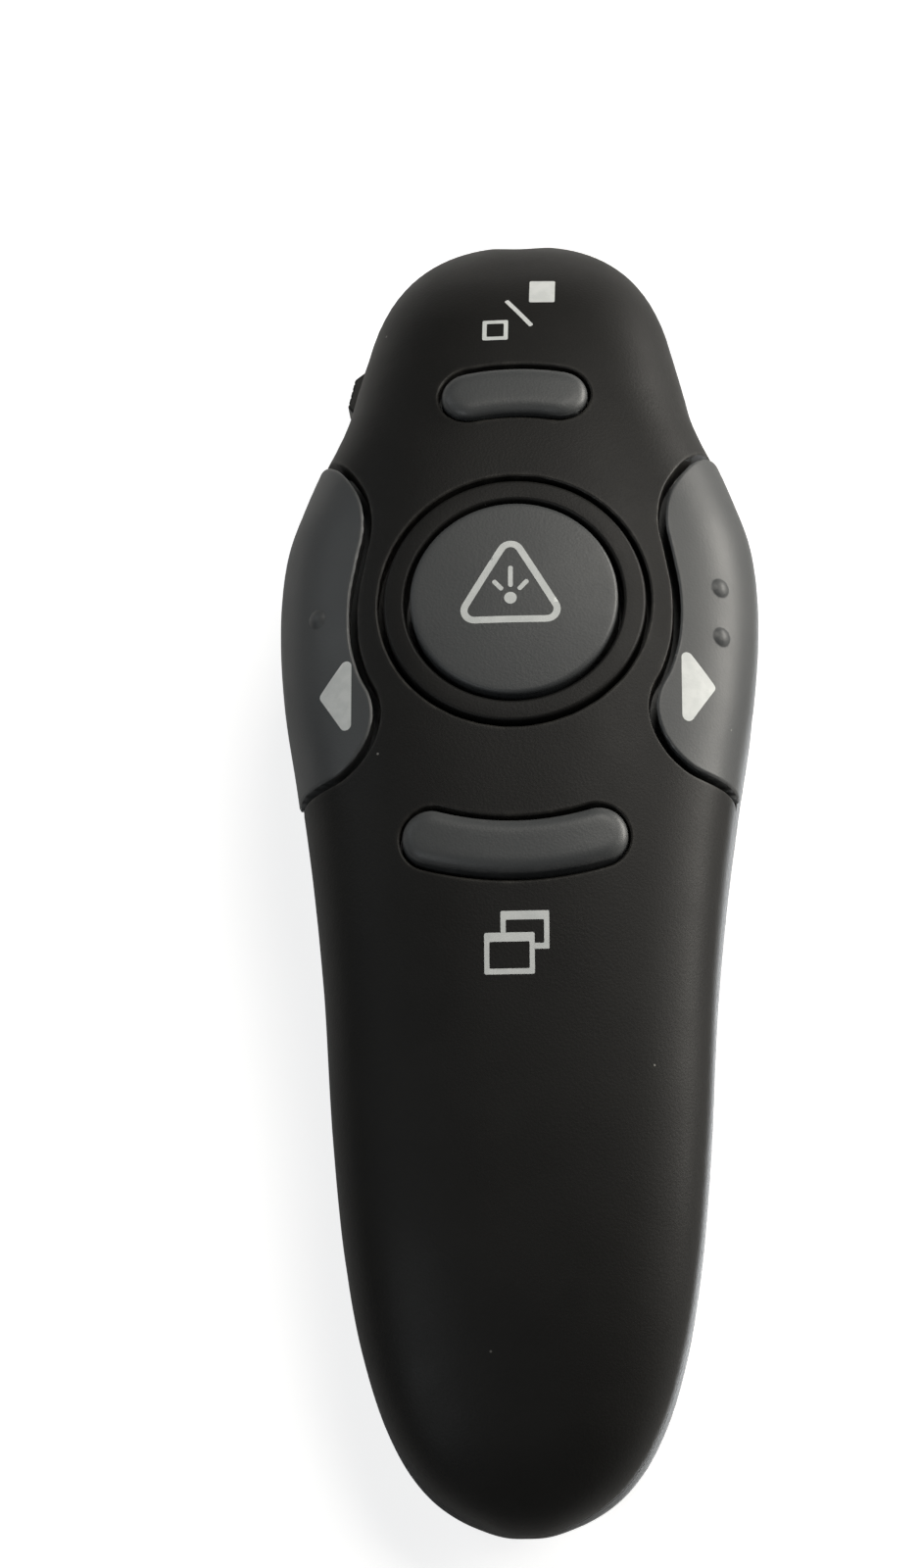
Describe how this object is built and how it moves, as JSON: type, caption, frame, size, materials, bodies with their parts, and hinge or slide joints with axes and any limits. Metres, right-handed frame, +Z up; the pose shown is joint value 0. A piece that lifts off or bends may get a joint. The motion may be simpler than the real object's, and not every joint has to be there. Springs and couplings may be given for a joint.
{
  "type": "wireless presentation clicker",
  "caption": "Hand-held wireless presentation clicker with a round laser button, arched keys, side keys, a slide power switch, a cell bay and a stowed plug-in receiver.",
  "frame": {"origin": "centre of the bounding box on the plane of the flat underside", "axes": "+Y along the body to the laser nose, +X to the forward key, +Z up out of the keys"},
  "size_m": [0.043, 0.123, 0.027],
  "materials": {
    "soft_black": "soft-touch matte black with a fine grain",
    "key_grey": "matte dark grey, fine grain, light printed marks",
    "trim_black": "satin black",
    "white_plastic": "moulded white",
    "chip_black": "moulded component body",
    "board_green": "green solder mask",
    "steel": "nickel plated",
    "gold": "brass and gold plating",
    "red_glass": "red tinted clear window",
    "cell_jacket": "printed cell jacket, plain"
  },
  "bodies": {
    "case": {"upper_shell": "soft_black", "lower_shell": "soft_black", "aperture_ring": "trim_black", "laser_window": "red_glass", "bezel_ring": "soft_black", "laser_switch": "chip_black", "screen_switch": "chip_black", "window_switch": "chip_black", "back_switch": "chip_black", "forward_switch": "chip_black", "circuit_board": "board_green", "controller_chip": "chip_black", "radio_chip": "chip_black", "clock_crystal": "steel", "capacitors": "chip_black", "antenna": "gold", "slide_switch": "steel", "laser_barrel": "gold", "laser_lens": "red_glass", "laser_diode": "steel", "laser_leads": "steel", "cell_left": "cell_jacket", "cell_right": "cell_jacket", "cell_springs": "steel", "tail_link": "steel", "positive_terminal": "steel", "negative_terminal": "steel", "front_case_screws": "steel", "rear_case_screws": "steel", "board_screws": "steel"},
    "laser_button": {"laser_button": "key_grey", "laser_stem": "white_plastic"},
    "screen_key": {"screen_key": "key_grey", "screen_stem": "white_plastic"},
    "window_key": {"window_key": "key_grey", "window_stem": "white_plastic"},
    "back_key": {"back_key": "key_grey", "back_stem": "white_plastic"},
    "forward_key": {"forward_key": "key_grey", "forward_stem": "white_plastic"},
    "power_knob": {"power_knob": "trim_black", "switch_lever": "white_plastic"},
    "battery_cover": {"battery_cover": "soft_black"},
    "usb_receiver": {"usb_housing": "trim_black", "usb_shell": "steel", "usb_tongue": "white_plastic", "usb_contacts": "gold", "usb_board": "board_green"}
  },
  "joints": [
    {"name": "laser_press", "type": "slide", "parent": "case", "child": "laser_button", "axis": [0, 0, -1], "range_m": [0, 0.0004], "stiffness_N_per_m": 1500, "springref_m": -0.0005},
    {"name": "screen_press", "type": "slide", "parent": "case", "child": "screen_key", "axis": [0, 0, -1], "range_m": [0, 0.0004], "stiffness_N_per_m": 1500, "springref_m": -0.0005},
    {"name": "window_press", "type": "slide", "parent": "case", "child": "window_key", "axis": [0, 0, -1], "range_m": [0, 0.0004], "stiffness_N_per_m": 1500, "springref_m": -0.0005},
    {"name": "back_press", "type": "slide", "parent": "case", "child": "back_key", "axis": [0, 0, -1], "range_m": [0, 0.0004], "stiffness_N_per_m": 1500, "springref_m": -0.0005},
    {"name": "forward_press", "type": "slide", "parent": "case", "child": "forward_key", "axis": [0, 0, -1], "range_m": [0, 0.0004], "stiffness_N_per_m": 1500, "springref_m": -0.0005},
    {"name": "power_slide", "type": "slide", "parent": "case", "child": "power_knob", "axis": [0, 1, 0], "range_m": [0, 0.002]},
    {"name": "cover_tilt", "type": "hinge", "parent": "case", "child": "battery_cover", "pos_m": [0, 0.01275, 0.0012], "axis": [1, 0, 0], "range_deg": [0, 15]},
    {"name": "receiver_lift", "type": "slide", "parent": "case", "child": "usb_receiver", "axis": [0, 0, -1], "range_m": [0, 0.009]}
  ]
}
